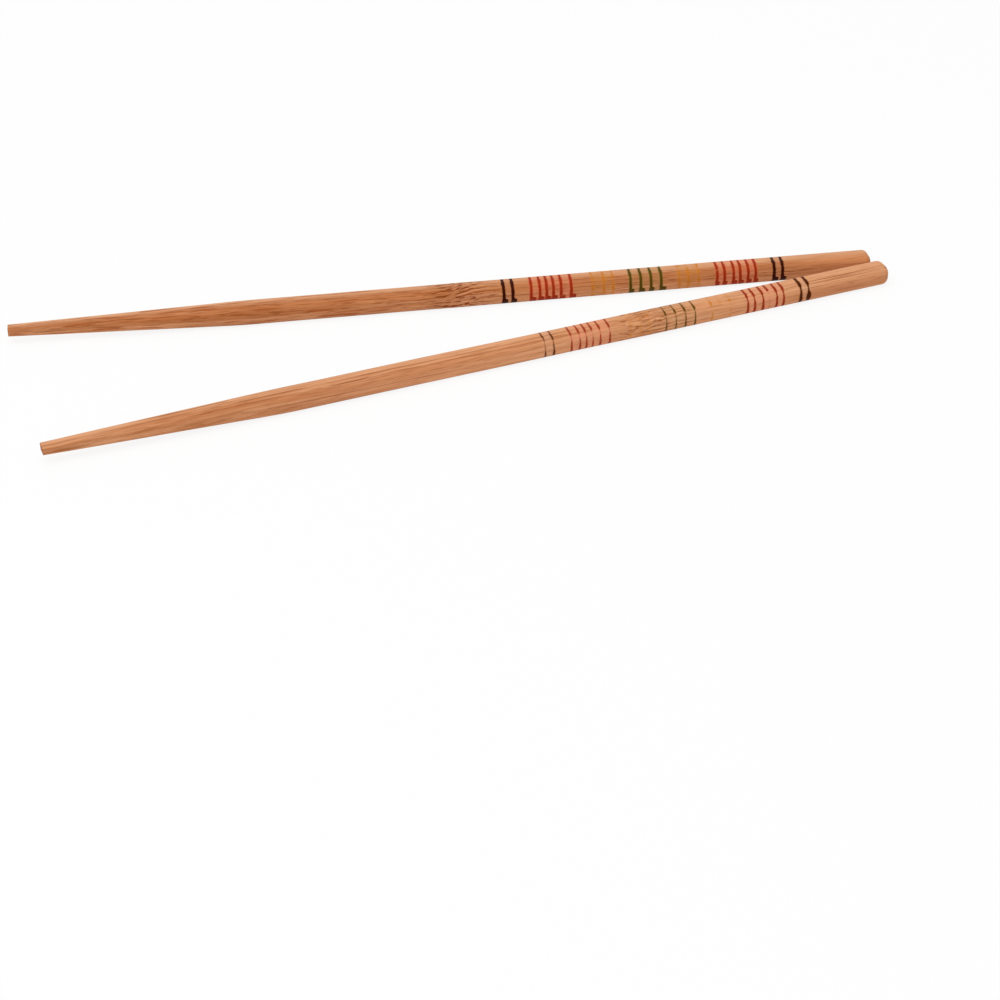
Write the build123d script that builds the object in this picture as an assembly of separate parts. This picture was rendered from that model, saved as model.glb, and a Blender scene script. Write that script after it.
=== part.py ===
from build123d import *
import os
from math import cos, radians, sin

# A pair of bamboo chopsticks lying side by side, handle ends together and tips spread.
# Each stick is one piece of bamboo: a flattened round handle, a long taper and a flat-cut tip.
# Frame: +X runs from the tips to the handles, +Z is up, and the undersides lie on z = 0.
# Sizes are in millimetres and degrees.

# Stick
LENGTH = 240.0
TAPER_LENGTH = 62.0

# Handle section
BODY_WIDTH = 6.8
BODY_HEIGHT = 5.9
BODY_CORNER = 2.5
END_ROUNDING = 1.9

# Tip section, and how far its centre lies above the handle's centre line
TIP_WIDTH = 3.2
TIP_HEIGHT = 2.2
TIP_CORNER = 0.45
TIP_RISE = 0.75

# Lay of the pair: the angle between the sticks, the room that a square-cut handle end would leave
# beside the other handle, and how far the front stick lies ahead of the rear one
SPREAD = 12.9
HANDLE_CLEARANCE = 0.15
STAGGER = 2.0

# A rounding stays just short of the half thickness that carries it
ROUNDING_LIMIT = 0.48


def section(station, width, height, corner, centre_height):
    """Rounded rectangle square to the stick, at a distance from the handle's end."""
    plane = Plane(origin=(station, 0, centre_height), x_dir=(0, 1, 0), z_dir=(1, 0, 0))
    rounding = min(corner, ROUNDING_LIMIT * min(width, height))
    return plane * RectangleRounded(width, height, rounding)


def chopstick():
    """One stick along X, its handle's end at x = 0 and its underside on z = 0."""
    body_centre = BODY_HEIGHT / 2
    shoulder = section(TAPER_LENGTH - LENGTH, BODY_WIDTH, BODY_HEIGHT, BODY_CORNER, body_centre)
    tip = section(-LENGTH, TIP_WIDTH, TIP_HEIGHT, TIP_CORNER, body_centre + TIP_RISE)
    body = extrude(shoulder, LENGTH - TAPER_LENGTH)
    end_face = body.faces().sort_by(Axis.X)[-1]
    body = fillet(end_face.edges(), min(END_ROUNDING, ROUNDING_LIMIT * min(BODY_WIDTH, BODY_HEIGHT)))
    taper = loft([tip, shoulder], ruled=True)
    return body + taper


def laid(stick, end_x, end_y, heading):
    """The stick turned about its handle's end and set down with that end at a place."""
    return Pos(end_x, end_y, 0) * Rot(0, 0, heading) * stick


# The rear handle's end stands off the front stick's centre line by both half widths and the clearance,
# and the ends' distance across the pair follows from that
half_spread = SPREAD / 2
stand_off = BODY_WIDTH / 2 * (1 + cos(radians(SPREAD))) + HANDLE_CLEARANCE
across = (stand_off - STAGGER * sin(radians(half_spread))) / cos(radians(half_spread))

stick = chopstick()
pair = {
    "rear_chopstick": laid(stick, 0, across, -half_spread),
    "front_chopstick": laid(stick, STAGGER, 0, half_spread),
}

# The origin is the middle of the pair's box, on the surface that it lies on
box = Compound(list(pair.values())).bounding_box()
to_origin = Pos(-(box.min.X + box.max.X) / 2, -(box.min.Y + box.max.Y) / 2, 0)

os.makedirs("parts", exist_ok=True)
for name, piece in pair.items():
    placed = to_origin * piece
    placed.label = name
    export_step(placed, f"parts/{name}.step")
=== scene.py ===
import math

import bpy
import numpy as np
from mathutils import Matrix, Vector, noise


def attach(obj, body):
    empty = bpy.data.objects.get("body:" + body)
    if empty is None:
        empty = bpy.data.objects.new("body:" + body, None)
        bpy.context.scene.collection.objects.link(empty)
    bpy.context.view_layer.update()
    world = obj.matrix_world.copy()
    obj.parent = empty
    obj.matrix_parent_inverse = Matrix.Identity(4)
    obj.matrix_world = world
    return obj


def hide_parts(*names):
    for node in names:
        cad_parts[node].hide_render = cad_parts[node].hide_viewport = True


# A pair of bamboo chopsticks on a white floor: carbonised bamboo with lengthwise fibres and painted rings.
# Blender's objects are in metres. A stick's own sizes are in millimetres: x runs from its tip to its
# handle's end, y across it and z up. Angles are in degrees. Round a stick, 0 is its top and 90 its side
# towards -y, which faces the camera.
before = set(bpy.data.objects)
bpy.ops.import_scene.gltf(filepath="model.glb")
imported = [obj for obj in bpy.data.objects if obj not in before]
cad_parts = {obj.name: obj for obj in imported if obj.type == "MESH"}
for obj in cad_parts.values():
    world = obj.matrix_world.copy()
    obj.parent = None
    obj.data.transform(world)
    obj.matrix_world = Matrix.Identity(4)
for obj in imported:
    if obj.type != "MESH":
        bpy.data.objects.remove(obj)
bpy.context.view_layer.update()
MM = 0.001

# Stick form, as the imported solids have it
LENGTH = 240.0
TAPER_LENGTH = 62.0
BODY_WIDTH = 6.8
BODY_HEIGHT = 5.9
BODY_CORNER = 2.5
END_ROUNDING = 1.9
TIP_WIDTH = 3.2
TIP_HEIGHT = 2.2
TIP_CORNER = 0.45
SPREAD = 12.9

# Softness of the corner where taper and handle meet, the tip's worn edge, and the section's least corner
SHOULDER_SOFTNESS = 0.035
TIP_EDGE = 0.1
LEAST_CORNER = 0.05

# Mesh steps: columns on each flat and corner of the section, and rows along the stick and over its ends
FLAT_STEPS = 8
SIDE_STEPS = 6
CORNER_STEPS = 15
ROW_STEP = 0.25
EDGE_ROWS = 5
END_ROWS = 10
CAP_ROWS = 9

# Relief of the wood: features per millimetre along and across the stick, shift of the seed, and depth
WAVES = (0.035, 0.25, 0, 0.05)
RIDGES = (0.03, 2.1, 5, 0.022)
JOINT_LUMPS = (0.45, 0.8, 9, 0.035)

# How far the bamboo joint swells, and how far from each end the relief is whole
JOINT_SWELL = 0.05
RELIEF_FADE = 2.0

# Texture map of a stick: its name, the strips that the surface is cut into, and the margin round each
MAP_NAME = "OFBake"
MAP_STRIPS = 4
MAP_MARGIN = 0.006

# Noise in the wood and the paint: features per millimetre along and across the stick, shift of the seed,
# detail and roughness
BANDS = (0.014, 0.55, 0, 3.0, 0.5)
FIBRES = (0.05, 2.8, 4, 4.0, 0.65)
STRANDS = (0.03, 1.5, 15, 1.0, 0.5)
HAIRS = (0.2, 3.0, 8, 2.0, 0.5)
FLAMES = (0.08, 1.3, 9, 1.5, 0.5)
BREAKS = (0.09, 1.2, 6, 1.0, 0.5)
FLECKS = (0.22, 2.3, 12, 1.5, 0.5)
CRACKS = (0.12, 0.8, 7, 1.0, 0.5)
WOBBLE = (0.4, 0.5, 0, 1.0, 0.5)
FRAY = (1.1, 2.2, 3, 3.0, 0.5)
GAPS = (0.5, 0.9, 0, 2.0, 0.5)
FEET = (0.7, 0.1, 6, 0.0, 0.5)

# How the fibres wander along the stick and swirl at the joint: features per millimetre in x, y and z,
# how far they swirl, and the joint's levels over which the swirl grows. The joint's level is 1 at its
# middle and fades to 0 on both sides.
WANDER_SCALE = (0.02, 0.16, 0.16)
SWIRL_SCALE = (0.17, 0.4, 0.4)
SWIRL_REACH = 0.5
SWIRL_SPAN = (0.02, 0.4)

# Plain wood: the noise levels over which a tone fades in, the length over which the handle turns paler,
# and the stretch over which the tip does
BAND_LEVELS = (0.24, 0.76)
FIBRE_LEVELS = (0.38, 0.6)
FIBRE_COVER = 0.75
STRAND_LEVEL = 0.5
STRAND_REACH = 0.18
HAIR_LEVELS = (0.52, 0.68)
PALER_FADE = 40.0
PALER_TIP = (36.0, 8.0)
PALER_TIP_COVER = 0.17

# Flames: how far the fibres fray them, their noise levels, the length over which they fade out, and what is
# left of them past that
FLAME_FRAY = 0.3
FLAME_LEVELS = (0.7, 0.8)
FLAME_FADE = 30.0
FLAMES_LEFT = 0.2

# Vascular bundles: how many there are to a millimetre, how far the fibres fray them, their least radius
# and how much larger some are, in cells, their soft edge, which cells have one, and where it reaches the
# surface
BUNDLES_PER_MM = 0.9
BUNDLE_FRAY = 0.2
BUNDLE_RADIUS = 0.16
BUNDLE_SPREAD = 0.16
BUNDLE_EDGE = (0.04, -0.08)
BUNDLE_CELLS = (0.35, 0.5)
BREAK_LEVELS = (0.4, 0.52)

# Single streaks: how far they sway in radians, their soft edge in half widths, the length over which they
# fade out, and the fibres' levels over which they go from their least share to whole
STREAK_SWAY = 0.12
STREAK_EDGE = (1.6, 0.3)
STREAK_FADE = 8.0
STREAK_LEVELS = (0.7, 0.4)
STREAK_LEAST = 0.5

# Bamboo joint, in millimetres past its middle: where the disturbed wood on its handle side fades in and
# out, and where the fibres come to lean, with the lean's shares in y and z
BESIDE_RISE = (-4.0, 1.0)
BESIDE_FALL = (15.0, 10.0)
LEAN_SPAN = (-4.0, 7.0)
LEAN_SHARES = (-0.57, -0.82)

# Flecks and cracks have their noise levels, and the joint's levels over which they grow. Ripples have their
# spacing, how far the bands move them, and the wave's levels of their dark and pale sides.
FLECK_LEVELS = (0.51, 0.585)
FLECK_SPAN = (0.3, 0.75)
CRACK_LEVEL = 0.5
CRACK_EDGE = (0.03, 0.008)
CRACK_SPAN = (0.05, 0.4)
RIPPLE_SPACING = 0.9
RIPPLE_SWAY = 6.0
RIPPLE_TONES = (("bundle", 0.4, 0.95), ("pale_grain_and_sheen", -0.3, -0.9))

# End grain: how far from the tip it fades out, where it starts and is whole before the handle's end, the
# share that shows at that end, and its cover
TIP_GRAIN = (0.16, 0.02)
END_GRAIN = (END_ROUNDING / 2, 0.05)
END_GRAIN_SHARE = 0.6
END_GRAIN_COVER = 0.5

# Painted lines, in millimetres from the tip
RING_GROUPS = {
    "black_a": (134.9, 137.4),
    "red_a": (142.6, 145.0, 146.9, 148.8, 151.0, 153.8),
    "yellow_a": (159.8, 163.0, 165.6),
    "green": (170.6, 173.5, 176.4, 179.3),
    "yellow_b": (184.4, 187.0, 190.0),
    "red_b": (195.3, 197.4, 200.0, 201.9, 204.2, 206.3),
    "black_b": (211.7, 214.1),
}

# A line's foot, where the print starts and ends, lies between these two angles
FOOT_ANGLES = (101.0, 150.0)

# Soft ends of an arc of foot, wear or rubbing, in degrees
FOOT_SOFTNESS = 3.0
WEAR_SOFTNESS = 5.0
RUB_SOFTNESS = 8.0

# Edges of a line: how far it wobbles, its least half width and how much fraying adds, as shares of its
# width, the softness of its edge, and how far its paint bleeds into the fibres
WOBBLE_REACH = 0.12
LINE_SHARE = 0.275
FRAY_SHARE = 0.45
EDGE_SOFTNESS = 0.1
BLEED_REACH = 0.4

# Gaps in the paint: their levels, how far a full cover lowers them, and the share of paint left in a gap
GAP_LEVELS = (0.62, 0.74)
GAP_DROP = 0.42
GAP_LEFT = 0.35

# Stain between a group's lines: how far outside them it starts and is whole, and its levels
STAIN_START = 0.9
STAIN_WHOLE = 0.1
STAIN_LEVELS = (0.2, 0.7)

# Gloss and bump: the wood's roughness and how much its fibres add, what paint takes off it, the wood's weak
# and warm gloss, the depth of bundles and of the joint's marks and the paint's height as shares of a
# fibre's, and the bump's strength and height
WOOD_ROUGHNESS = 0.48
FIBRE_ROUGHNESS = 0.2
PAINT_SMOOTHNESS = 0.06
GLOSS_LEVEL = 0.06
GLOSS_TINT = (1.0, 0.7, 0.4, 1.0)
BUNDLE_DEPTH = 0.5
MARK_DEPTH = 0.4
PAINT_HEIGHT = 0.15
BUMP_STRENGTH = 0.5
BUMP_HEIGHT = 0.06

# The length over which a tone band fades in or out, and the start and stop of one that runs off the stick
BAND_FADE = 20.0
BEFORE_TIP = -BAND_FADE
PAST_END = LENGTH + BAND_FADE

# Camera: the photograph's own perspective, with its aim and distance in millimetres
CAMERA_PITCH = 35.2
CAMERA_TURN = 15.78
CAMERA_DISTANCE = 566.6
CAMERA_AIM = (-12.9, -77.19, 0.0)
CAMERA_LENS = 83.58
SENSOR = 36.0

# Light from the room on the sticks, and the lamp's size, place and power, in metres and watts
ROOM_LIGHT = 0.55
LAMP_SIZE = 1.2
LAMP_PLACE = (-0.3, -0.2, 1.1)
LAMP_POWER = 9.0

# Floor: half its side in metres, its colour and roughness, and how much of its white in the background
# takes no shadow
FLOOR_HALF = 2.0
FLOOR_COLOUR = (0.92, 0.92, 0.92, 1.0)
FLOOR_ROUGHNESS = 0.9
FLOOR_OWN_WHITE = 0.88


def srgb(red, green, blue):
    """A colour written in 0 to 255, as the shader's linear values."""
    shares = [channel / 255 for channel in (red, green, blue)]
    linear = [s / 12.92 if s <= 0.04045 else ((s + 0.055) / 1.055) ** 2.4 for s in shares]
    return (*linear, 1.0)


# What differs from stick to stick. A cover is the share of the wood that a tone or mark hides.
# tip_rise is how far the tip's centre lies above the handle's.
# pale, deep, bundle and flame are the wood's tones, and the fifth is its palest grain.
# The bands that run along the stick are painted light and shade, set by the side they are on: painted sheen
# along the top and lower edges, painted shade on the front and below it, and painted light near the handle.
# Each has a tone, angle, half width in degrees, cover, start and stop.
# flames_to is where the flames have faded, and paler_from where the handle starts to turn paler.
# wander is how far the fibres stray, and joint_lean how far they lean over at the bamboo joint.
# joint_at and joint_reach are the joint's place and half length, and flecks, cracks and ripples are covers.
# streaks are single dark lines: angle, start, stop, half width and cover.
# print_shift moves the painted lines along the stick, and print_lean slants them.
# inks give each paint's colour, its stain's colour and cover, and its bleed's colour and cover.
# lines give each group's line width, cover and foot length.
# worn arcs have a group, its lines, a first and last angle, and how far the paint has drawn back there, or
# spread where that is negative. rubbed arcs do the same to every line.
STICKS = {
    "rear_chopstick": {
        "piece": "rear_bamboo_stick",
        "heading": -SPREAD / 2,
        "tip_rise": 0.5,
        "seed": 33.3,
        "pale": srgb(217, 147, 98),
        "deep": srgb(174, 102, 56),
        "bundle": srgb(134, 64, 24),
        "flame": srgb(160, 80, 34),
        "pale_grain_and_sheen": srgb(228, 172, 132),
        "bundle_cover": 0.5,
        "flame_cover": 0.7,
        "hair_cover": 0.7,
        "strand_cover": 0.3,
        "paler_cover": 0.52,
        "paler_from": 98.0,
        "flames_to": 128.0,
        "light_and_shade_bands": (
            # Painted sheen on edges and handle top, painted shade in front, painted light by the end
            ("pale_grain_and_sheen", -25, 32, 0.75, BEFORE_TIP, PAST_END),
            ("pale_grain_and_sheen", 8, 22, 0.3, 160, PAST_END),
            ("deep", 46, 16, 0.4, BEFORE_TIP, PAST_END),
            ("pale", 50, 60, 0.5, 222, PAST_END),
            ("pale_grain_and_sheen", 125, 32, 0.4, BEFORE_TIP, PAST_END),
        ),
        "wander": 0.8,
        "joint_at": 122.0,
        "joint_reach": 9.0,
        "joint_lean": 2.0,
        "flecks": 1.0,
        "cracks": 0.25,
        "ripples": 0.28,
        "streaks": (
            (31, 150, 192, 0.1, 0.6),
            (49, 152, 186, 0.08, 0.5),
            (68, 140, 200, 0.09, 0.6),
        ),
        "print_shift": 0.06,
        "print_lean": 0.025,
        "inks": {
            "black": (srgb(56, 10, 0), srgb(184, 132, 100), 0.4, srgb(128, 70, 24), 0.25),
            "red": (srgb(154, 47, 17), srgb(230, 122, 96), 0.45, srgb(218, 78, 48), 0.5),
            "yellow": (srgb(196, 114, 30), srgb(204, 134, 46), 0.38, srgb(208, 132, 36), 0.4),
            "green": (srgb(86, 64, 8), srgb(166, 132, 84), 0.4, srgb(124, 118, 52), 0.5),
        },
        "lines": {
            "black_a": (0.98, 1.0, 0.8),
            "red_a": (0.82, 1.0, 0.9),
            "yellow_a": (0.7, 0.56, 0.0),
            "green": (0.82, 1.0, 0.75),
            "yellow_b": (0.7, 0.5, 0.0),
            "red_b": (0.8, 1.0, 0.6),
            "black_b": (0.96, 1.0, 0.75),
        },
        "worn": (),
        "rubbed": ((-60, 4, 0.12), (32, 90, 0.05)),
    },
    "front_chopstick": {
        "piece": "front_bamboo_stick",
        "heading": SPREAD / 2,
        "tip_rise": 0.95,
        "seed": 2.2,
        "pale": srgb(224, 157, 112),
        "deep": srgb(188, 119, 76),
        "bundle": srgb(146, 78, 36),
        "flame": srgb(168, 96, 48),
        "pale_grain_and_sheen": srgb(232, 176, 134),
        "bundle_cover": 0.5,
        "flame_cover": 0.5,
        "hair_cover": 0.45,
        "strand_cover": 0.35,
        "paler_cover": 0.65,
        "paler_from": 70.0,
        "flames_to": 84.0,
        "light_and_shade_bands": (
            # Painted sheen on the edges and over the handle, painted shade on the front
            ("pale_grain_and_sheen", -25, 32, 0.5, BEFORE_TIP, PAST_END),
            ("deep", 33, 10, 0.25, 135, 180),
            ("pale_grain_and_sheen", 38, 16, 0.3, 205, PAST_END),
            ("pale_grain_and_sheen", 57, 14, 0.18, 135, PAST_END),
            ("deep", 61, 14, 0.35, BEFORE_TIP, 128),
            ("pale_grain_and_sheen", 80, 12, 0.1, BEFORE_TIP, 190),
            # Painted shadow of a neighbouring stick along the handle's lower front
            ("deep", 100, 26, 0.7, 208, PAST_END),
            ("pale_grain_and_sheen", 125, 32, 0.2, BEFORE_TIP, PAST_END),
        ),
        "wander": 0.6,
        "joint_at": 166.0,
        "joint_reach": 8.5,
        "joint_lean": 0.5,
        "flecks": 0.6,
        "cracks": 0.7,
        "ripples": 0.45,
        "streaks": (
            (38, 72, 152, 0.14, 0.55),
            (85, 58, 112, 0.12, 0.6),
            (25, 205, 238, 0.12, 0.9),
            (42, 210, 238, 0.1, 0.7),
            (60, 195, 225, 0.09, 0.6),
        ),
        "print_shift": 0.23,
        "print_lean": 0.05,
        "inks": {
            "black": (srgb(74, 28, 0), srgb(218, 168, 138), 0.4, srgb(150, 80, 8), 0.55),
            "red": (srgb(150, 48, 18), srgb(238, 146, 118), 0.45, srgb(166, 82, 46), 0.35),
            "yellow": (srgb(196, 114, 30), srgb(214, 146, 66), 0.15, srgb(208, 138, 52), 0.25),
            "green": (srgb(92, 62, 8), srgb(190, 148, 100), 0.3, srgb(146, 102, 50), 0.35),
        },
        "lines": {
            "black_a": (0.5, 0.8, 0.1),
            "red_a": (0.58, 0.9, 0.0),
            "yellow_a": (0.5, 0.35, 0.0),
            "green": (0.48, 0.95, 0.0),
            "yellow_b": (0.46, 0.42, 0.0),
            "red_b": (0.74, 1.0, 0.0),
            "black_b": (0.92, 1.0, 0.0),
        },
        "worn": (
            ("black_a", (0,), 24, 150, 0.12),
            ("red_a", (0, 1, 2, 3, 4, 5), 34, 76, 0.06),
            ("red_a", (0, 1, 2, 3, 4, 5), 44, 66, 0.06),
            ("red_a", (3,), 34, 150, 0.1),
            ("green", (0, 1, 2, 3), 24, 44, -0.1),
            ("green", (0, 1), -10, 150, 0.05),
            ("yellow_b", (0, 1, 2), 20, 40, -0.2),
            ("yellow_b", (1,), 42, 150, 0.4),
            ("red_b", (0, 1, 2, 4, 5), 44, 66, 0.05),
            ("red_b", (3,), 30, 150, 0.4),
            ("black_b", (0, 1), 44, 68, 0.07),
            ("black_b", (1,), 38, 74, 0.06),
            ("black_b", (1,), 80, 112, -0.25),
        ),
        "rubbed": ((-60, 2, 0.1), (40, 92, 0.09), (44, 64, 0.08)),
    },
}


# Stick meshes


def section_columns():
    """Each column of the section: the corner that it belongs to, as shares of the flats, and its normal."""
    columns = []

    def flat(steps, start, stop, normal):
        for step in range(steps):
            share = (step + 0.5) / steps
            spot = [a + (b - a) * share for a, b in zip(start, stop)]
            columns.append((*spot, *normal))

    def corner(side, level, first_angle):
        for step in range(CORNER_STEPS):
            angle = math.radians(first_angle + 90 * (step + 0.5) / CORNER_STEPS)
            columns.append((side, level, math.cos(angle), math.sin(angle)))

    flat(FLAT_STEPS // 2, (0, -1), (1, -1), (0, -1))
    corner(1, -1, -90)
    flat(SIDE_STEPS, (1, -1), (1, 1), (1, 0))
    corner(1, 1, 0)
    flat(FLAT_STEPS, (1, 1), (-1, 1), (0, 1))
    corner(-1, 1, 90)
    flat(SIDE_STEPS, (-1, 1), (-1, -1), (-1, 0))
    corner(-1, -1, 180)
    flat(FLAT_STEPS // 2, (-1, -1), (0, -1), (0, -1))
    return np.array(columns)


def section_rows():
    """Each row of the mesh from tip to handle: its station, its inset, and the share it is shrunk to."""
    rows = []
    for step in range(1, CAP_ROWS):
        rows.append((0.0, TIP_EDGE, step / CAP_ROWS))
    for step in range(EDGE_ROWS):
        angle = math.radians(90 * step / EDGE_ROWS)
        rows.append((TIP_EDGE * (1 - math.cos(angle)), TIP_EDGE * (1 - math.sin(angle)), 1.0))
    plain_rows = int((LENGTH - END_ROUNDING - TIP_EDGE) / ROW_STEP)
    for station in np.linspace(TIP_EDGE, LENGTH - END_ROUNDING, plain_rows):
        rows.append((station, 0.0, 1.0))
    for step in range(1, END_ROWS + 1):
        angle = math.radians(90 * step / END_ROWS)
        station = LENGTH - END_ROUNDING * (1 - math.sin(angle))
        rows.append((station, END_ROUNDING * (1 - math.cos(angle)), 1.0))
    for step in range(1, CAP_ROWS):
        rows.append((LENGTH, END_ROUNDING, 1 - step / CAP_ROWS))
    return np.array(rows)


def taper_share(station):
    """0 at the tip and 1 along the handle, with a soft corner between."""
    ahead = (1 - station / TAPER_LENGTH) / SHOULDER_SOFTNESS
    return 1 - SHOULDER_SOFTNESS * np.logaddexp(0, ahead)


def surface_grid(rows, columns, tip_rise):
    """Smooth surface points and outward normals, rows by columns, in millimetres from the tip."""
    station, inset, shrink = rows[:, 0:1], rows[:, 1:2], rows[:, 2:3]
    share = taper_share(station)
    half_width = (TIP_WIDTH + (BODY_WIDTH - TIP_WIDTH) * share) / 2 - inset
    half_height = (TIP_HEIGHT + (BODY_HEIGHT - TIP_HEIGHT) * share) / 2 - inset
    corner = np.maximum(TIP_CORNER + (BODY_CORNER - TIP_CORNER) * share - inset, LEAST_CORNER)
    centre = BODY_HEIGHT / 2 + tip_rise * (1 - share)
    side, level, out_y, out_z = columns.T
    y = shrink * (side * (half_width - corner) + out_y * corner)
    z = shrink * (level * (half_height - corner) + out_z * corner) + centre
    points = np.stack(np.broadcast_arrays(station, y, z), -1)
    normals = np.stack(np.broadcast_arrays(np.zeros_like(station), out_y, out_z), -1)
    return points, normals


def relief_layer(points, layer, seed):
    """Heights of Blender's own smooth noise at each point, drawn out along the stick."""
    along, across, shift, depth = layer
    spots = points * np.array((along, across, across)) + (seed + shift)
    heights = [noise.noise(Vector(spot)) for spot in spots.reshape(-1, 3)]
    return np.array(heights).reshape(points.shape[:-1]) * depth


def relief(points, stick):
    """How far the wood stands out of the smooth form: slow waves, fibre ridges and the bamboo joint."""
    seed = stick["seed"]
    station = points[..., 0]
    plain = relief_layer(points, WAVES, seed) + relief_layer(points, RIDGES, seed)
    joint = np.exp(-(((station - stick["joint_at"]) / stick["joint_reach"]) ** 2))
    swelling = joint * (JOINT_SWELL + relief_layer(points, JOINT_LUMPS, seed))
    from_ends = np.minimum(station - TIP_EDGE, LENGTH - END_ROUNDING - station)
    return (plain + swelling) * np.clip(from_ends / RELIEF_FADE, 0, 1)


def grid_faces(row_count, column_count):
    """Quads between neighbouring rows, with a fan to one point at each end."""
    faces = []
    for row in range(row_count - 1):
        for column in range(column_count):
            following = (column + 1) % column_count
            faces.append((
                row * column_count + column,
                (row + 1) * column_count + column,
                (row + 1) * column_count + following,
                row * column_count + following,
            ))
    tip_point = row_count * column_count
    end_point = tip_point + 1
    last = (row_count - 1) * column_count
    for column in range(column_count):
        following = (column + 1) % column_count
        faces.append((tip_point, column, following))
        faces.append((last + following, last + column, end_point))
    return faces


def lay_out_map(mesh, points, row_count, column_count):
    """A texture map of the surface cut into a few long strips, so that fine lines stay sharp on it."""
    middle = points[:, column_count // 2]
    reach = np.concatenate([[0], np.cumsum(np.linalg.norm(np.diff(middle, axis=0), axis=1))])
    strip_length = reach[-1] / MAP_STRIPS
    inner = 1 - 2 * MAP_MARGIN
    places = np.zeros((len(mesh.loops), 2))
    for polygon in mesh.polygons:
        corners = list(polygon.vertices)
        on_grid = [v for v in corners if v < row_count * column_count]
        low_row = min(v // column_count for v in on_grid)
        low_column = min(v % column_count for v in on_grid)
        wraps = max(v % column_count for v in on_grid) - low_column > 1
        strip = min(int(reach[low_row] / strip_length), MAP_STRIPS - 1)
        for loop, v in zip(polygon.loop_indices, corners):
            if v < row_count * column_count:
                row, column = divmod(v, column_count)
                column = column + column_count if wraps and column == 0 else column
                along = reach[row]
            else:
                column = (column_count - 1 if wraps else low_column) + 0.5
                along = reach[low_row]
            across = MAP_MARGIN + inner * column / column_count
            places[loop] = ((along - strip * strip_length) / strip_length, (strip + across) / MAP_STRIPS)
    places[:, 0] = MAP_MARGIN + inner * np.clip(places[:, 0], 0, 1)
    layer = mesh.uv_layers.new(name=MAP_NAME)
    layer.data.foreach_set("uv", places.ravel())


def stick_to_row(node, heading):
    """Turns millimetres along, across and above a stick, from its tip, into metres in the row frame."""
    turn = Matrix.Rotation(math.radians(heading), 4, "Z")
    corners = np.array([vertex.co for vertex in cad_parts[node].data.vertices])
    along_stick = corners @ np.array(turn.to_3x3())
    low, high = along_stick.min(0), along_stick.max(0)
    tip = Vector((low[0], (low[1] + high[1]) / 2, low[2]))
    return turn @ Matrix.Translation(tip) @ Matrix.Scale(MM, 4)


def make_stick(node, stick):
    """One bamboo stick in place of its CAD node. Its mesh carries the smooth form's points for the wood."""
    columns = section_columns()
    rows = section_rows()
    smooth, normals = surface_grid(rows, columns, stick["tip_rise"])
    points = smooth + normals * relief(smooth, stick)[..., None]
    points[..., 2] = np.maximum(points[..., 2], 0.0)
    centre = BODY_HEIGHT / 2
    ends = np.array([(0.0, 0.0, centre + stick["tip_rise"]), (LENGTH, 0.0, centre)])
    vertices = np.vstack([points.reshape(-1, 3), ends])
    mesh = bpy.data.meshes.new(stick["piece"])
    mesh.from_pydata(vertices.tolist(), [], grid_faces(len(rows), len(columns)))
    wood = mesh.attributes.new("wood", "FLOAT_VECTOR", "POINT")
    grain = np.vstack([smooth.reshape(-1, 3), ends]) - (0.0, 0.0, centre)
    wood.data.foreach_set("vector", grain.ravel())
    lay_out_map(mesh, points, len(rows), len(columns))
    mesh.polygons.foreach_set("use_smooth", [True] * len(mesh.polygons))
    mesh.transform(stick_to_row(node, stick["heading"]))
    mesh.update()
    piece = bpy.data.objects.new(stick["piece"], mesh)
    bpy.context.scene.collection.objects.link(piece)
    piece.data.materials.append(bamboo(stick))
    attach(piece, "root")
    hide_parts(node)


# Shader helpers


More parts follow.
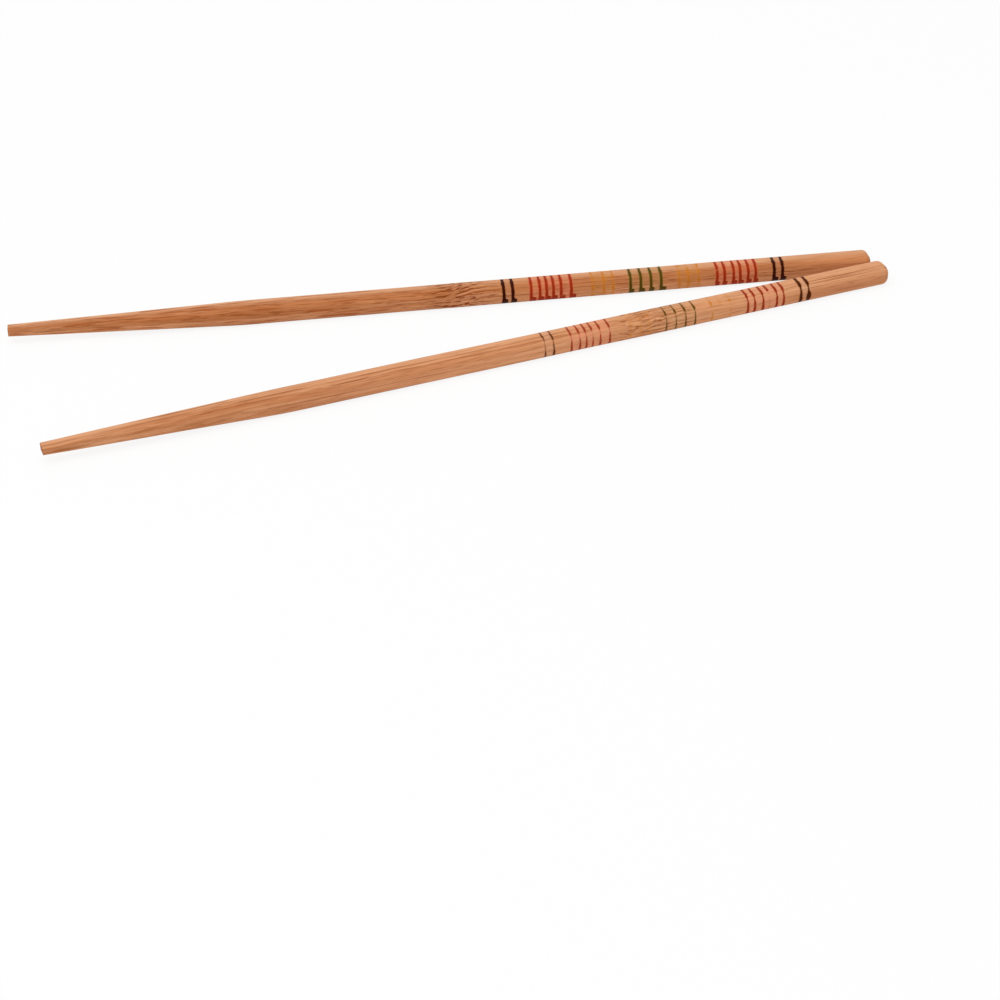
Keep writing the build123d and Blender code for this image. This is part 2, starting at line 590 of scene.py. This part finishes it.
class Tree:
    """Short ways to add shader nodes. A value is a number, a colour or another node's output."""

    def __init__(self, node_tree):
        self.node_tree = node_tree

    def new(self, kind):
        return self.node_tree.nodes.new(kind)

    def feed(self, socket, value):
        if isinstance(value, bpy.types.NodeSocket):
            self.node_tree.links.new(value, socket)
        else:
            socket.default_value = value

    def math(self, operation, *values):
        node = self.new("ShaderNodeMath")
        node.operation = operation
        for socket, value in zip(node.inputs, values):
            self.feed(socket, value)
        return node.outputs[0]

    def product(self, first, second):
        return self.math("MULTIPLY", first, second)

    def centred(self, value, reach):
        """Turns 0 to 1 into minus reach to reach."""
        return self.math("MULTIPLY_ADD", value, 2 * reach, -reach)

    def bell(self, off):
        """A soft bump of 1 where the value is 0."""
        return self.math("EXPONENT", self.product(self.product(off, off), -1.0))

    def vector(self, x, y, z):
        node = self.new("ShaderNodeCombineXYZ")
        for socket, value in zip(node.inputs, (x, y, z)):
            self.feed(socket, value)
        return node.outputs[0]

    def split(self, vector):
        node = self.new("ShaderNodeSeparateXYZ")
        self.feed(node.inputs[0], vector)
        return node.outputs

    def scaled(self, vector, scale, shift):
        node = self.new("ShaderNodeVectorMath")
        node.operation = "MULTIPLY_ADD"
        self.feed(node.inputs[0], vector)
        node.inputs[1].default_value = scale
        node.inputs[2].default_value = shift
        return node.outputs[0]

    def noise(self, vector, detail=2.0, roughness=0.5, colour=False):
        node = self.new("ShaderNodeTexNoise")
        self.feed(node.inputs["Vector"], vector)
        node.inputs["Scale"].default_value = 1.0
        node.inputs["Detail"].default_value = detail
        node.inputs["Roughness"].default_value = roughness
        return node.outputs["Color" if colour else "Fac"]

    def cells(self, vector):
        node = self.new("ShaderNodeTexVoronoi")
        node.voronoi_dimensions = "2D"
        self.feed(node.inputs["Vector"], vector)
        node.inputs["Scale"].default_value = 1.0
        return node.outputs["Distance"], node.outputs["Color"]

    def step(self, value, low, high, to_low=0.0, to_high=1.0):
        node = self.new("ShaderNodeMapRange")
        node.interpolation_type = "SMOOTHSTEP"
        for name, setting in (("Value", value), ("From Min", low), ("From Max", high),
                              ("To Min", to_low), ("To Max", to_high)):
            self.feed(node.inputs[name], setting)
        return node.outputs[0]

    def window(self, value, rise, fall, top=1.0):
        """Rises from 0 to top over one pair of values, and falls back over the other."""
        return self.product(self.step(value, *rise, 0.0, top), self.step(value, *fall))

    def mix(self, factor, first, second):
        node = self.new("ShaderNodeMix")
        node.data_type = "RGBA"
        self.feed(node.inputs[0], factor)
        self.feed(node.inputs[6], first)
        self.feed(node.inputs[7], second)
        return node.outputs[2]


# Bamboo


class Wood:
    """A stick's wood in its shader: its own coordinates, the run of its fibres, and its colour so far."""

    def __init__(self, tree, stick):
        self.tree = tree
        self.stick = stick
        self.seed = stick["seed"]
        self.colour = stick["deep"]
        attribute = tree.new("ShaderNodeAttribute")
        attribute.attribute_name = "wood"
        place = attribute.outputs["Vector"]
        self.x, self.y, self.z = tree.split(place)
        self.angle = self.angle_of(self.y, self.z)
        self.past_joint = tree.math("SUBTRACT", self.x, stick["joint_at"])
        self.joint = tree.bell(tree.math("DIVIDE", self.past_joint, stick["joint_reach"]))
        self.run = self.fibre_run(place)
        self.bands = self.noise(BANDS)
        self.fibres = self.noise(FIBRES)

    def angle_of(self, y, z):
        """The angle round the stick, in radians."""
        return self.tree.math("ARCTAN2", self.tree.product(y, -1.0), z)

    def fibre_run(self, place):
        """Where the fibres run, in y and z, once they wander and swirl round the joint."""
        tree = self.tree
        shift = (self.seed,) * 3
        wander = tree.split(tree.noise(tree.scaled(place, WANDER_SCALE, shift), colour=True))
        swirl = tree.split(tree.noise(tree.scaled(place, SWIRL_SCALE, shift), colour=True))
        swirling = tree.step(self.joint, *SWIRL_SPAN)
        run = []
        for axis, channel in ((self.y, 1), (self.z, 2)):
            slow = tree.centred(wander[channel], self.stick["wander"])
            fast = tree.product(tree.centred(swirl[channel], SWIRL_REACH), swirling)
            run.append(tree.math("ADD", axis, tree.math("ADD", slow, fast)))
        return run

    def noise(self, layer, run=None):
        """Noise drawn out along the fibres, or along another run of them."""
        tree = self.tree
        along, across, shift, detail, roughness = layer
        run_y, run_z = run or self.run
        spot_x = tree.math("MULTIPLY_ADD", self.x, along, self.seed + shift)
        spot = tree.vector(spot_x, tree.product(run_y, across), tree.product(run_z, across))
        return tree.noise(spot, detail, roughness)

    def paint_noise(self, layer, seed):
        """Noise in the paint, which takes no notice of the fibres."""
        tree = self.tree
        along, across, shift, detail, roughness = layer
        spot_y = tree.math("MULTIPLY_ADD", self.y, across, seed + shift)
        spot = tree.vector(tree.product(self.x, along), spot_y, tree.product(self.z, across))
        return tree.noise(spot, detail, roughness)

    def arc(self, start, stop, softness):
        """1 between two angles round the stick and 0 outside them."""
        rise = [math.radians(start + off) for off in (-softness, softness)]
        fall = [math.radians(stop + off) for off in (softness, -softness)]
        return self.tree.window(self.angle, rise, fall)

    def lobe(self, centre, half_width):
        """A soft bump of 1 at an angle round the stick."""
        off = self.tree.math("SUBTRACT", self.angle, math.radians(centre))
        return self.tree.bell(self.tree.math("DIVIDE", off, math.radians(half_width)))

    def lay(self, cover, tone):
        """Lays a tone over the colour so far."""
        self.colour = self.tree.mix(cover, self.colour, tone)


def lay_tones(wood):
    """Bands, fibres, strands, hairs and paler stretches of the wood, and painted light and shade round it.
    """
    tree, stick = wood.tree, wood.stick
    wood.lay(tree.step(wood.bands, *BAND_LEVELS), stick["pale"])
    wood.lay(tree.step(wood.fibres, *FIBRE_LEVELS, FIBRE_COVER, 0.0), stick["deep"])
    paler_from = stick["paler_from"]
    paler = tree.step(wood.x, paler_from, paler_from + PALER_FADE, 0.0, stick["paler_cover"])
    wood.lay(paler, stick["pale"])
    strands = wood.noise(STRANDS)
    for tone, level in (("deep", STRAND_LEVEL - STRAND_REACH), ("pale_grain_and_sheen", STRAND_LEVEL + STRAND_REACH)):
        wood.lay(tree.step(strands, STRAND_LEVEL, level, 0.0, stick["strand_cover"]), stick[tone])
    wood.lay(tree.step(wood.noise(HAIRS), *HAIR_LEVELS, 0.0, stick["hair_cover"]), stick["bundle"])
    wood.lay(tree.step(wood.x, *PALER_TIP, 0.0, PALER_TIP_COVER), stick["pale_grain_and_sheen"])
    half_fade = BAND_FADE / 2
    # The bands round the stick are painted light and shade: sheen on the edges, shade on the front.
    for tone, centre, half_width, cover, start, stop in stick["light_and_shade_bands"]:
        rise = start - half_fade, start + half_fade
        fall = stop + half_fade, stop - half_fade
        within = tree.window(wood.x, rise, fall, cover)
        wood.lay(tree.product(wood.lobe(centre, half_width), within), stick[tone])


def lay_flames(wood):
    """Short flames of darker wood, where the taper and the lower handle cut across the fibres."""
    tree, stick = wood.tree, wood.stick
    flames = tree.math("MULTIPLY_ADD", wood.fibres, FLAME_FRAY, wood.noise(FLAMES))
    flames_to = stick["flames_to"]
    left = tree.step(wood.x, flames_to, flames_to - FLAME_FADE, FLAMES_LEFT, 1.0)
    flames = tree.product(tree.step(flames, *FLAME_LEVELS), left)
    wood.lay(tree.product(flames, stick["flame_cover"]), stick["flame"])


def lay_bundles(wood):
    """Vascular bundles, which the surface cuts into long ragged dashes. Returns where they show."""
    tree, stick = wood.tree, wood.stick
    run_y, run_z = wood.run
    spot_x = tree.math("MULTIPLY_ADD", run_y, BUNDLES_PER_MM, wood.seed)
    distance, cell = tree.cells(tree.vector(spot_x, tree.product(run_z, BUNDLES_PER_MM), 0.0))
    cell_red, cell_green, _ = tree.split(cell)
    ragged = tree.math("ADD", distance, tree.centred(wood.fibres, BUNDLE_FRAY))
    radius = tree.math("MULTIPLY_ADD", cell_green, BUNDLE_SPREAD, BUNDLE_RADIUS)
    core = tree.step(tree.math("SUBTRACT", ragged, radius), *BUNDLE_EDGE)
    unbroken = tree.step(wood.noise(BREAKS), *BREAK_LEVELS)
    shown = tree.product(tree.step(cell_red, *BUNDLE_CELLS), unbroken)
    bundles = tree.product(core, shown)
    wood.lay(tree.product(bundles, stick["bundle_cover"]), stick["bundle"])
    return bundles


def lay_streaks(wood):
    """Single dark streaks along the stick."""
    tree, stick = wood.tree, wood.stick
    swaying = tree.math("ADD", wood.angle, tree.centred(wood.bands, STREAK_SWAY))
    for angle, start, stop, half_width, cover in stick["streaks"]:
        off = tree.math("ABSOLUTE", tree.math("SUBTRACT", swaying, math.radians(angle)))
        off = tree.product(off, BODY_HEIGHT / 2)
        streak = tree.step(off, *[share * half_width for share in STREAK_EDGE])
        within = tree.window(wood.x, (start, start + STREAK_FADE), (stop, stop - STREAK_FADE))
        uneven = tree.step(wood.fibres, *STREAK_LEVELS, STREAK_LEAST * cover, cover)
        wood.lay(tree.product(tree.product(streak, within), uneven), stick["bundle"])


def lay_joint(wood):
    """Flecks and cracks at the bamboo joint, and ripples on its handle side. Returns flecks and cracks."""
    tree, stick = wood.tree, wood.stick
    beside = tree.window(wood.past_joint, BESIDE_RISE, BESIDE_FALL)
    lean = tree.step(wood.past_joint, *LEAN_SPAN, 0.0, stick["joint_lean"])
    leaning = [tree.math("MULTIPLY_ADD", lean, share, run) for share, run in zip(LEAN_SHARES, wood.run)]

    flecks = tree.step(wood.noise(FLECKS, leaning), *FLECK_LEVELS)
    flecks = tree.product(flecks, tree.step(wood.joint, *FLECK_SPAN))
    wood.lay(tree.product(flecks, stick["flecks"]), stick["bundle"])

    off_crack = tree.math("SUBTRACT", wood.noise(CRACKS, leaning), CRACK_LEVEL)
    cracked = tree.math("MAXIMUM", tree.step(wood.joint, *CRACK_SPAN), beside)
    cracks = tree.product(tree.step(tree.math("ABSOLUTE", off_crack), *CRACK_EDGE), cracked)
    wood.lay(tree.product(cracks, stick["cracks"]), stick["bundle"])

    ripples_round = math.pi * BODY_HEIGHT / RIPPLE_SPACING
    sway = tree.product(wood.bands, RIPPLE_SWAY)
    wave = tree.math("SINE", tree.math("MULTIPLY_ADD", wood.angle_of(*leaning), ripples_round, sway))
    for tone, low, high in RIPPLE_TONES:
        ripples = tree.product(tree.step(wave, low, high), beside)
        wood.lay(tree.product(ripples, stick["ripples"]), stick[tone])
    return tree.math("MAXIMUM", flecks, cracks)


def lay_end_grain(wood):
    """End grain, which took up more of the heat and is darker."""
    tree = wood.tree
    tip_grain = tree.step(wood.x, *TIP_GRAIN)
    end_grain = tree.step(wood.x, *[LENGTH - before for before in END_GRAIN])
    grain = tree.math("MAXIMUM", tip_grain, tree.product(end_grain, END_GRAIN_SHARE))
    wood.lay(tree.product(grain, END_GRAIN_COVER), wood.stick["bundle"])


def off_nearest_line(wood, group, print_x, half_foot):
    """How far each place is from the nearest line of a group, and further where the line is worn."""
    tree = wood.tree
    nearest = LENGTH
    for index, station in enumerate(RING_GROUPS[group]):
        off = tree.math("SUBTRACT", tree.math("SUBTRACT", print_x, station), half_foot)
        off = tree.math("SUBTRACT", tree.math("ABSOLUTE", off), half_foot)
        for worn_group, worn_lines, first, last, loss in wood.stick["worn"]:
            if worn_group == group and index in worn_lines:
                off = tree.math("MULTIPLY_ADD", wood.arc(first, last, WEAR_SOFTNESS), loss, off)
        nearest = tree.math("MINIMUM", nearest, off)
    return nearest


def lay_rings(wood):
    """Painted rings: each group's stain, the bled edges of its lines, and the lines. Returns the paint."""
    tree, stick = wood.tree, wood.stick
    fray = wood.paint_noise(FRAY, wood.seed)
    gaps = wood.paint_noise(GAPS, -wood.seed)
    feet = wood.paint_noise(FEET, wood.seed)
    foot_reach = tree.product(wood.arc(*FOOT_ANGLES, FOOT_SOFTNESS), feet)
    shifted = tree.math("SUBTRACT", wood.x, stick["print_shift"])
    slanted = tree.math("MULTIPLY_ADD", wood.y, -stick["print_lean"], shifted)
    wobble = tree.centred(wood.paint_noise(WOBBLE, wood.seed), WOBBLE_REACH)
    print_x = tree.math("ADD", slanted, wobble)
    rubbed = 0.0
    for first, last, loss in stick["rubbed"]:
        rubbed = tree.math("MULTIPLY_ADD", wood.arc(first, last, RUB_SOFTNESS), loss, rubbed)
    paint = 0.0
    for group, stations in RING_GROUPS.items():
        width, cover, foot = stick["lines"][group]
        off = off_nearest_line(wood, group, print_x, tree.product(foot_reach, foot))
        half_width = tree.math("MULTIPLY_ADD", fray, FRAY_SHARE * width, LINE_SHARE * width)
        off_edge = tree.math("SUBTRACT", tree.math("ADD", off, rubbed), half_width)
        gap_levels = [level - GAP_DROP * cover for level in GAP_LEVELS]
        unbroken = tree.step(gaps, *gap_levels, GAP_LEFT * cover, math.sqrt(cover))
        line = tree.product(tree.step(off_edge, EDGE_SOFTNESS, -EDGE_SOFTNESS), unbroken)
        bleed = tree.product(tree.step(off_edge, BLEED_REACH, 0.0), unbroken)
        stain_rise = stations[0] - STAIN_START, stations[0] - STAIN_WHOLE
        stain_fall = stations[-1] + STAIN_START, stations[-1] + STAIN_WHOLE
        stain = tree.product(tree.window(print_x, stain_rise, stain_fall), tree.step(gaps, *STAIN_LEVELS))

        ink = group.split("_")[0]
        paint_colour, stain_colour, stain_cover, bleed_colour, bleed_cover = stick["inks"][ink]
        wood.lay(tree.product(stain, stain_cover), stain_colour)
        wood.lay(tree.product(bleed, bleed_cover), bleed_colour)
        wood.lay(line, paint_colour)
        paint = tree.math("MAXIMUM", paint, line)
    return paint


def finish_surface(wood, shader, bundles, joint_marks, paint):
    """The colour, a satin gloss that paint makes a little smoother, and a fine bump."""
    tree = wood.tree
    tree.feed(shader.inputs["Base Color"], wood.colour)
    roughness = tree.math("MULTIPLY_ADD", wood.fibres, FIBRE_ROUGHNESS, WOOD_ROUGHNESS)
    roughness = tree.math("MULTIPLY_ADD", paint, -PAINT_SMOOTHNESS, roughness)
    tree.feed(shader.inputs["Roughness"], roughness)
    shader.inputs["Specular IOR Level"].default_value = GLOSS_LEVEL
    shader.inputs["Specular Tint"].default_value = GLOSS_TINT
    height = tree.math("MULTIPLY_ADD", bundles, -BUNDLE_DEPTH, wood.fibres)
    height = tree.math("MULTIPLY_ADD", joint_marks, -MARK_DEPTH, height)
    height = tree.math("MULTIPLY_ADD", paint, PAINT_HEIGHT, height)
    bump = tree.new("ShaderNodeBump")
    bump.inputs["Strength"].default_value = BUMP_STRENGTH
    bump.inputs["Distance"].default_value = BUMP_HEIGHT * MM
    tree.feed(bump.inputs["Height"], height)
    tree.feed(shader.inputs["Normal"], bump.outputs["Normal"])


def bamboo(stick):
    """Carbonised bamboo with painted rings, each layer laid over the ones before."""
    material = bpy.data.materials.new(stick["piece"] + "_bamboo")
    material.use_nodes = True
    wood = Wood(Tree(material.node_tree), stick)
    lay_tones(wood)
    lay_flames(wood)
    bundles = lay_bundles(wood)
    lay_streaks(wood)
    joint_marks = lay_joint(wood)
    lay_end_grain(wood)
    paint = lay_rings(wood)
    shader = material.node_tree.nodes["Principled BSDF"]
    finish_surface(wood, shader, bundles, joint_marks, paint)
    return material


# Stage, light and camera


def background_rays(tree):
    """1 for the rays that see the background: the camera's own, mirrored ones and ones through glass."""
    path = tree.new("ShaderNodeLightPath").outputs
    mirrored = tree.math("MAXIMUM", path["Is Glossy Ray"], path["Is Transmission Ray"])
    return tree.math("MAXIMUM", path["Is Camera Ray"], mirrored)


def floor_material():
    """White floor that keeps a light shadow: in the background, part of its white is its own."""
    material = bpy.data.materials.new("white_floor")
    material.use_nodes = True
    tree = Tree(material.node_tree)
    shader = material.node_tree.nodes["Principled BSDF"]
    shader.inputs["Base Color"].default_value = FLOOR_COLOUR
    shader.inputs["Roughness"].default_value = FLOOR_ROUGHNESS
    shader.inputs["Specular IOR Level"].default_value = 0.0
    glow = tree.new("ShaderNodeEmission")
    glow.inputs["Strength"].default_value = 1.0
    mix = tree.new("ShaderNodeMixShader")
    tree.feed(mix.inputs[0], tree.product(background_rays(tree), FLOOR_OWN_WHITE))
    tree.feed(mix.inputs[1], shader.outputs[0])
    tree.feed(mix.inputs[2], glow.outputs[0])
    tree.feed(material.node_tree.nodes["Material Output"].inputs["Surface"], mix.outputs[0])
    return material


def make_floor():
    """One large square under the sticks."""
    half = FLOOR_HALF
    corners = [(-half, -half, 0), (half, -half, 0), (half, half, 0), (-half, half, 0)]
    mesh = bpy.data.meshes.new("floor")
    mesh.from_pydata(corners, [], [(0, 1, 2, 3)])
    mesh.materials.append(floor_material())
    floor = bpy.data.objects.new("floor", mesh)
    bpy.context.scene.collection.objects.link(floor)


def make_light():
    """A room that is white to look at and lights the sticks more softly, and one broad lamp overhead."""
    world = bpy.data.worlds.new("white_room")
    bpy.context.scene.world = world
    world.use_nodes = True
    tree = Tree(world.node_tree)
    room = world.node_tree.nodes["Background"]
    room.inputs["Color"].default_value = (1.0, 1.0, 1.0, 1.0)
    strength = tree.math("MULTIPLY_ADD", background_rays(tree), 1 - ROOM_LIGHT, ROOM_LIGHT)
    tree.feed(room.inputs["Strength"], strength)
    lamp = bpy.data.lights.new("overhead", "AREA")
    lamp.shape = "SQUARE"
    lamp.size = LAMP_SIZE
    lamp.energy = LAMP_POWER
    overhead = bpy.data.objects.new("overhead", lamp)
    bpy.context.scene.collection.objects.link(overhead)
    overhead.location = LAMP_PLACE
    overhead.rotation_euler = (-overhead.location).to_track_quat("-Z", "Y").to_euler()


def make_camera():
    """The photograph's own view: pitched down at the middle of its frame."""
    lens = bpy.data.cameras.new("camera")
    lens.sensor_width = SENSOR
    lens.lens = CAMERA_LENS
    camera = bpy.data.objects.new("camera", lens)
    bpy.context.scene.collection.objects.link(camera)
    camera.rotation_euler = (math.radians(90 - CAMERA_PITCH), 0.0, -math.radians(CAMERA_TURN))
    ahead = camera.rotation_euler.to_matrix() @ Vector((0.0, 0.0, -1.0))
    camera.location = (Vector(CAMERA_AIM) - ahead * CAMERA_DISTANCE) * MM
    bpy.context.scene.camera = camera


for node_name, stick_looks in STICKS.items():
    make_stick(node_name, stick_looks)
make_floor()
make_light()
make_camera()
bpy.context.scene.view_settings.view_transform = "Standard"
